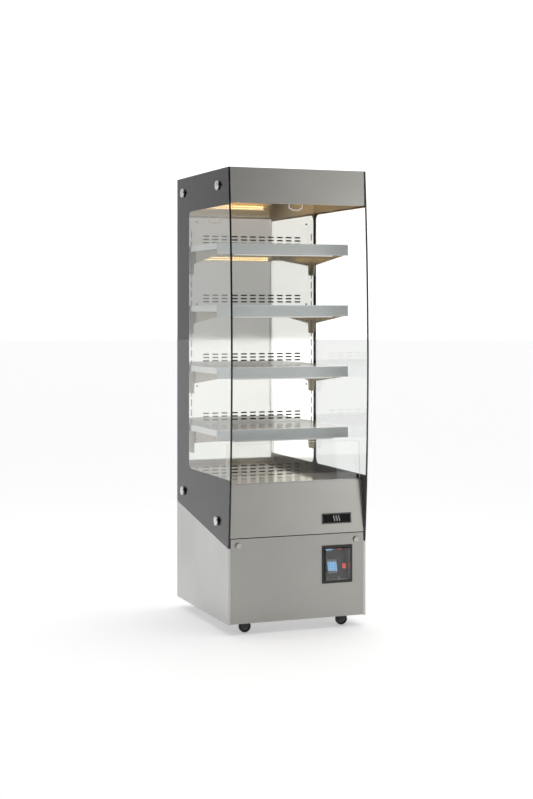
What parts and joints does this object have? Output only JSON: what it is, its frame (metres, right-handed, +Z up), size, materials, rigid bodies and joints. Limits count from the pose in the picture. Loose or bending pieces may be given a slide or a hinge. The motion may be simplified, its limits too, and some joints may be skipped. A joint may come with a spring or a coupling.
{
  "type": "food holding cabinet",
  "caption": "Tall open-front heated food cabinet on casters: glass sides, lit slotted-post shelves, pull-down blind and a tipping service panel.",
  "frame": {"origin": "on the floor, under the middle of the whole", "axes": "+X to the right, +Y to the rear, +Z up"},
  "size_m": [0.624, 0.699, 1.868],
  "materials": {
    "panel_steel": "brushed, satin",
    "polished_steel": "mirror polished",
    "inner_steel": "mill finish",
    "side_glass": "clear, with a dark printed border",
    "guard_glass": "clear",
    "clear_plastic": "clear polycarbonate",
    "cap_steel": "satin polished",
    "black_plastic": "fine texture",
    "grey_plastic": "smooth",
    "red_plastic": "glossy, lit",
    "badge_black": "glossy",
    "rail_aluminium": "satin anodised",
    "shelf_steel": "polished",
    "bracket_steel": "satin",
    "lamp_white": "white anodised, with a lit LED strip",
    "blind_cloth": "plain weave, coated",
    "blind_white": "smooth",
    "caster_rubber": "smooth",
    "zinc": "zinc plated",
    "heater_sheath": "heat tinted"
  },
  "bodies": {
    "cabinet": {"base_side_left": "panel_steel", "base_side_right": "panel_steel", "base_floor": "inner_steel", "base_back_panel": "panel_steel", "power_inlet": "black_plastic", "fascia_panel": "panel_steel", "deck_plate": "polished_steel", "guard_channel": "rail_aluminium", "front_guard": "guard_glass", "nameplate": "badge_black", "glass_left": "side_glass", "glass_right": "side_glass", "glass_fixings": "cap_steel", "canopy_shell": "panel_steel", "canopy_liner": "polished_steel", "uprights": "polished_steel", "back_wall": "polished_steel", "wall_screws": "cap_steel", "rear_cover": "inner_steel", "fan_housing": "inner_steel", "heating_element": "heater_sheath", "power_supply": "rail_aluminium", "canopy_light": "lamp_white", "blind_brackets": "zinc", "caster_plates": "zinc"},
    "shelf_1": {"shelf_1_tray": "shelf_steel", "shelf_1_brackets": "bracket_steel", "shelf_1_light": "lamp_white"},
    "shelf_2": {"shelf_2_tray": "shelf_steel", "shelf_2_brackets": "bracket_steel", "shelf_2_light": "lamp_white"},
    "shelf_3": {"shelf_3_tray": "shelf_steel", "shelf_3_brackets": "bracket_steel", "shelf_3_light": "lamp_white"},
    "shelf_4": {"shelf_4_tray": "shelf_steel", "shelf_4_brackets": "bracket_steel", "shelf_4_light": "lamp_white"},
    "roller": {"blind_roller": "rail_aluminium", "blind_roll": "blind_cloth"},
    "blind": {"blind_bar": "blind_white", "blind_handle": "blind_white", "blind_fabric": "blind_cloth"},
    "fan": {"fan_rotor": "zinc"},
    "service_door": {"service_panel": "panel_steel", "control_bezel": "black_plastic", "controller": "grey_plastic", "switch_frame": "black_plastic"},
    "thumb_screw_left": {"thumb_screw_left": "cap_steel"},
    "thumb_screw_right": {"thumb_screw_right": "cap_steel"},
    "rocker": {"rocker": "red_plastic"},
    "control_cover": {"control_cover": "clear_plastic"},
    "cover_latch": {"cover_latch": "grey_plastic"},
    "fork_front_left": {"caster_front_left_fork": "zinc"},
    "wheel_front_left": {"caster_front_left_wheel": "caster_rubber"},
    "fork_front_right": {"caster_front_right_fork": "zinc"},
    "wheel_front_right": {"caster_front_right_wheel": "caster_rubber"},
    "fork_rear_left": {"caster_rear_left_fork": "zinc"},
    "wheel_rear_left": {"caster_rear_left_wheel": "caster_rubber"},
    "fork_rear_right": {"caster_rear_right_fork": "zinc"},
    "wheel_rear_right": {"caster_rear_right_wheel": "caster_rubber"}
  },
  "joints": [
    {"name": "shelf_1_lift", "type": "slide", "parent": "cabinet", "child": "shelf_1", "axis": [0, 0, 1], "range_m": [0, 0.012]},
    {"name": "shelf_2_lift", "type": "slide", "parent": "cabinet", "child": "shelf_2", "axis": [0, 0, 1], "range_m": [0, 0.012]},
    {"name": "shelf_3_lift", "type": "slide", "parent": "cabinet", "child": "shelf_3", "axis": [0, 0, 1], "range_m": [0, 0.012]},
    {"name": "shelf_4_lift", "type": "slide", "parent": "cabinet", "child": "shelf_4", "axis": [0, 0, 1], "range_m": [0, 0.012]},
    {"name": "blind_drop", "type": "slide", "parent": "cabinet", "child": "blind", "axis": [0, 0, -1], "range_m": [0, 0.965], "deforming": ["blind_fabric"]},
    {"name": "roller_turn", "type": "hinge", "parent": "cabinet", "child": "roller", "pos_m": [0, -0.2555, 1.812], "axis": [1, 0, 0], "range_deg": [0, 2400]},
    {"name": "fan_turn", "type": "hinge", "parent": "cabinet", "child": "fan", "pos_m": [0, 0.2825, 0.5], "axis": [1, 0, 0], "continuous": true},
    {"name": "service_door_tip", "type": "hinge", "parent": "cabinet", "child": "service_door", "pos_m": [0, -0.3125, 0.0495], "axis": [1, 0, 0], "range_deg": [0, 35]},
    {"name": "thumb_screw_left_turn", "type": "hinge", "parent": "service_door", "child": "thumb_screw_left", "pos_m": [-0.2565, -0.3175, 0.357], "axis": [0, -1, 0], "range_deg": [0, 720]},
    {"name": "thumb_screw_right_turn", "type": "hinge", "parent": "service_door", "child": "thumb_screw_right", "pos_m": [0.2565, -0.3175, 0.357], "axis": [0, -1, 0], "range_deg": [0, 720]},
    {"name": "rocker_tip", "type": "hinge", "parent": "service_door", "child": "rocker", "pos_m": [0.2115, -0.29493, 0.24693], "axis": [-1, 0, 0], "range_deg": [0, 16]},
    {"name": "control_cover_lift", "type": "hinge", "parent": "service_door", "child": "control_cover", "pos_m": [0.1725, -0.3245, 0.322], "axis": [-1, 0, 0], "range_deg": [0, 100]},
    {"name": "cover_latch_turn", "type": "hinge", "parent": "control_cover", "child": "cover_latch", "pos_m": [0.1725, -0.3295, 0.207], "axis": [0, -1, 0], "range_deg": [0, 90]},
    {"name": "fork_front_left_swivel", "type": "hinge", "parent": "cabinet", "child": "fork_front_left", "pos_m": [-0.232, -0.2675, 0.065], "axis": [0, 0, 1], "continuous": true},
    {"name": "wheel_front_left_roll", "type": "hinge", "parent": "fork_front_left", "child": "wheel_front_left", "pos_m": [-0.212, -0.2675, 0.025], "axis": [0, 1, 0], "continuous": true},
    {"name": "fork_front_right_swivel", "type": "hinge", "parent": "cabinet", "child": "fork_front_right", "pos_m": [0.232, -0.2675, 0.065], "axis": [0, 0, 1], "continuous": true},
    {"name": "wheel_front_right_roll", "type": "hinge", "parent": "fork_front_right", "child": "wheel_front_right", "pos_m": [0.212, -0.2675, 0.025], "axis": [0, 1, 0], "continuous": true},
    {"name": "fork_rear_left_swivel", "type": "hinge", "parent": "cabinet", "child": "fork_rear_left", "pos_m": [-0.232, 0.2995, 0.065], "axis": [0, 0, 1], "continuous": true},
    {"name": "wheel_rear_left_roll", "type": "hinge", "parent": "fork_rear_left", "child": "wheel_rear_left", "pos_m": [-0.212, 0.2995, 0.025], "axis": [0, 1, 0], "continuous": true},
    {"name": "fork_rear_right_swivel", "type": "hinge", "parent": "cabinet", "child": "fork_rear_right", "pos_m": [0.232, 0.2995, 0.065], "axis": [0, 0, 1], "continuous": true},
    {"name": "wheel_rear_right_roll", "type": "hinge", "parent": "fork_rear_right", "child": "wheel_rear_right", "pos_m": [0.212, 0.2995, 0.025], "axis": [0, 1, 0], "continuous": true}
  ],
  "couplings": [
    {"joint": "roller_turn", "follows": "blind_drop", "rad_per_m": 42.5}
  ]
}
